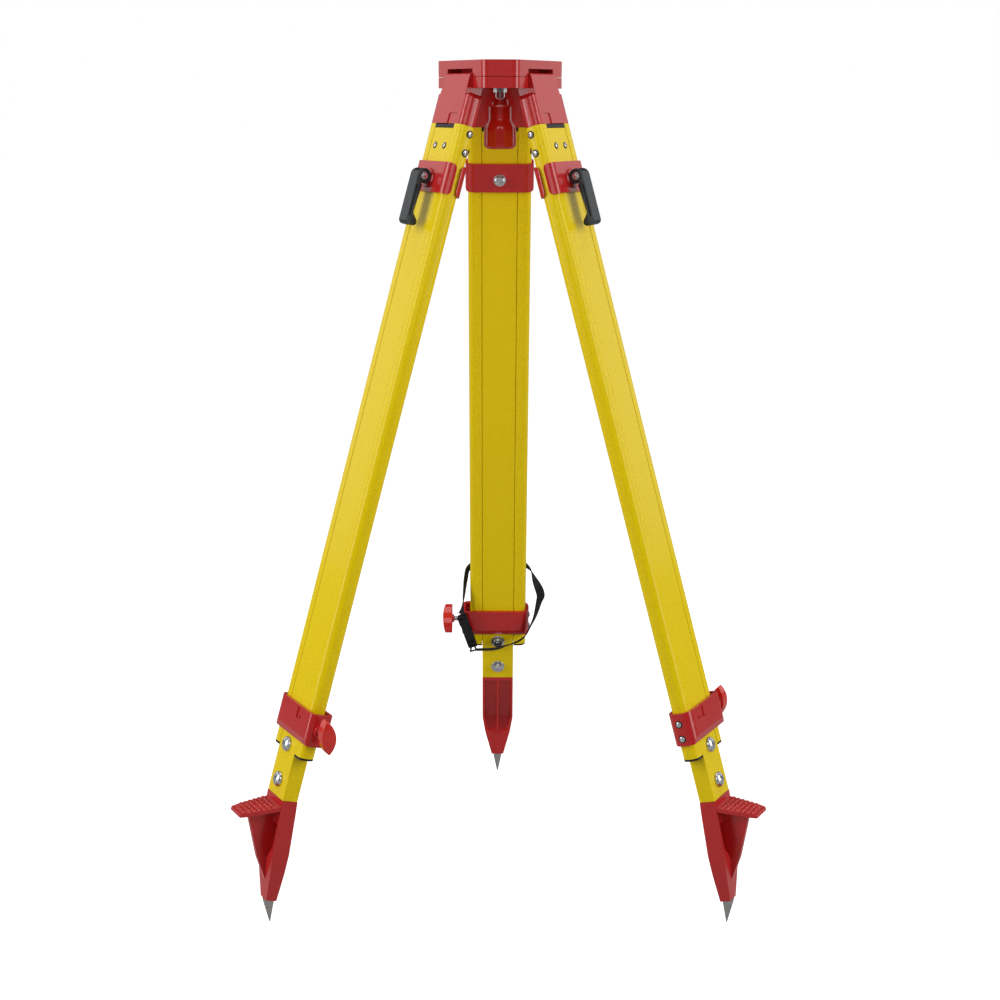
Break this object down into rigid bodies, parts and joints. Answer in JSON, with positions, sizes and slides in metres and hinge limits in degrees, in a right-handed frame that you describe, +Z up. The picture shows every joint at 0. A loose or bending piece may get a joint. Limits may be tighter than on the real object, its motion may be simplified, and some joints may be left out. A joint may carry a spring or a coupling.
{
  "type": "surveyor tripod",
  "caption": "Surveying tripod with a flat head and captive fixing screw, hinged telescoping fibreglass legs, cam and wing clamps, and pointed feet with foot steps.",
  "frame": {"origin": "centre of the tripod's bounding box in plan, at the level of the steel points", "axes": "+Z up, +Y towards the rear leg, the front pair of legs opening towards -Y"},
  "size_m": [0.6926, 0.6178, 1.1036],
  "materials": {
    "fibreglass": "glossy yellow fibreglass with faint mottle",
    "red_paint": "glossy red powder coat on aluminium castings",
    "knob_red": "glossy red moulded plastic",
    "lever_plastic": "satin black glass-filled plastic",
    "black_plastic": "matt black moulded plastic",
    "bright_steel": "bright zinc and chrome plated fasteners",
    "arm_steel": "plain pressed steel",
    "point_steel": "turned steel point, satin grey",
    "webbing": "black woven nylon webbing"
  },
  "bodies": {
    "head": {"head_plate": "red_paint", "head_ring": "red_paint", "arm_pin": "bright_steel", "rear_hinge_pin": "bright_steel", "left_hinge_pin": "bright_steel", "right_hinge_pin": "bright_steel"},
    "arm": {"swing_arm": "arm_steel"},
    "bush": {"arm_bush": "black_plastic"},
    "screw": {"fixing_screw": "bright_steel", "screw_knob": "knob_red"},
    "rear_upper_leg": {"rear_hinge_casting": "red_paint", "rear_tube_left": "fibreglass", "rear_tube_right": "fibreglass", "rear_lower_clamp": "red_paint", "strap": "webbing", "strap_buckle": "black_plastic"},
    "rear_wing": {"rear_wing_screw": "knob_red"},
    "rear_lower_leg": {"rear_inner_leg": "fibreglass", "rear_top_plug": "black_plastic", "rear_clamp_plate_outer": "red_paint", "rear_clamp_plate_inner": "red_paint", "rear_clamp_bolt": "bright_steel", "rear_lever_pin": "bright_steel", "rear_foot_casting": "red_paint", "rear_steel_point": "point_steel", "rear_foot_bolt_upper": "bright_steel", "rear_foot_bolt_lower": "bright_steel"},
    "rear_lever": {"rear_cam_lever": "lever_plastic"},
    "left_upper_leg": {"left_hinge_casting": "red_paint", "left_tube_left": "fibreglass", "left_tube_right": "fibreglass", "left_lower_clamp": "red_paint"},
    "left_wing": {"left_wing_screw": "knob_red"},
    "left_lower_leg": {"left_inner_leg": "fibreglass", "left_top_plug": "black_plastic", "left_clamp_plate_outer": "red_paint", "left_clamp_plate_inner": "red_paint", "left_clamp_bolt": "bright_steel", "left_lever_pin": "bright_steel", "left_foot_casting": "red_paint", "left_steel_point": "point_steel", "left_foot_bolt_upper": "bright_steel", "left_foot_bolt_lower": "bright_steel"},
    "left_lever": {"left_cam_lever": "lever_plastic"},
    "right_upper_leg": {"right_hinge_casting": "red_paint", "right_tube_left": "fibreglass", "right_tube_right": "fibreglass", "right_lower_clamp": "red_paint"},
    "right_wing": {"right_wing_screw": "knob_red"},
    "right_lower_leg": {"right_inner_leg": "fibreglass", "right_top_plug": "black_plastic", "right_clamp_plate_outer": "red_paint", "right_clamp_plate_inner": "red_paint", "right_clamp_bolt": "bright_steel", "right_lever_pin": "bright_steel", "right_foot_casting": "red_paint", "right_steel_point": "point_steel", "right_foot_bolt_upper": "bright_steel", "right_foot_bolt_lower": "bright_steel"},
    "right_lever": {"right_cam_lever": "lever_plastic"}
  },
  "joints": [
    {"name": "arm_swing", "type": "hinge", "parent": "head", "child": "arm", "pos_m": [-0.04503, -0.05573, 1.08083], "axis": [0, 0, 1], "range_deg": [-18, 18]},
    {"name": "screw_slide", "type": "slide", "parent": "arm", "child": "bush", "axis": [-0.866, 0.5, 0], "range_m": [-0.012, 0.012]},
    {"name": "screw_turn", "type": "hinge", "parent": "bush", "child": "screw", "pos_m": [0, -0.08173, 1.05363], "axis": [0, 0, 1], "continuous": true},
    {"name": "rear_leg_spread", "type": "hinge", "parent": "head", "child": "rear_upper_leg", "pos_m": [0, -0.02823, 1.07583], "axis": [1, 0, 0], "range_deg": [-16.7, 15]},
    {"name": "rear_leg_extend", "type": "slide", "parent": "rear_upper_leg", "child": "rear_lower_leg", "axis": [0, 0.2877, -0.9577], "range_m": [0, 0.585]},
    {"name": "rear_lever_open", "type": "hinge", "parent": "rear_lower_leg", "child": "rear_lever", "pos_m": [0, 0.0334, 0.96278], "axis": [1, 0, 0], "range_deg": [0, 100]},
    {"name": "rear_wing_turn", "type": "hinge", "parent": "rear_upper_leg", "child": "rear_wing", "pos_m": [0, 0.21286, 0.27326], "axis": [-1, 0, 0], "continuous": true},
    {"name": "left_leg_spread", "type": "hinge", "parent": "head", "child": "left_upper_leg", "pos_m": [-0.04633, -0.10848, 1.07583], "axis": [-0.5, 0.866, 0], "range_deg": [-16.7, 15]},
    {"name": "left_leg_extend", "type": "slide", "parent": "left_upper_leg", "child": "left_lower_leg", "axis": [-0.2492, -0.1438, -0.9577], "range_m": [0, 0.585]},
    {"name": "left_lever_open", "type": "hinge", "parent": "left_lower_leg", "child": "left_lever", "pos_m": [-0.09971, -0.13929, 0.96278], "axis": [-0.5, 0.866, 0], "range_deg": [0, 100]},
    {"name": "left_wing_turn", "type": "hinge", "parent": "left_upper_leg", "child": "left_wing", "pos_m": [-0.25512, -0.22902, 0.27326], "axis": [0.5, -0.866, 0], "continuous": true},
    {"name": "right_leg_spread", "type": "hinge", "parent": "head", "child": "right_upper_leg", "pos_m": [0.04633, -0.10848, 1.07583], "axis": [-0.5, -0.866, 0], "range_deg": [-16.7, 15]},
    {"name": "right_leg_extend", "type": "slide", "parent": "right_upper_leg", "child": "right_lower_leg", "axis": [0.2492, -0.1438, -0.9577], "range_m": [0, 0.585]},
    {"name": "right_lever_open", "type": "hinge", "parent": "right_lower_leg", "child": "right_lever", "pos_m": [0.09971, -0.13929, 0.96278], "axis": [-0.5, -0.866, 0], "range_deg": [0, 100]},
    {"name": "right_wing_turn", "type": "hinge", "parent": "right_upper_leg", "child": "right_wing", "pos_m": [0.25512, -0.22902, 0.27326], "axis": [0.5, 0.866, 0], "continuous": true}
  ]
}
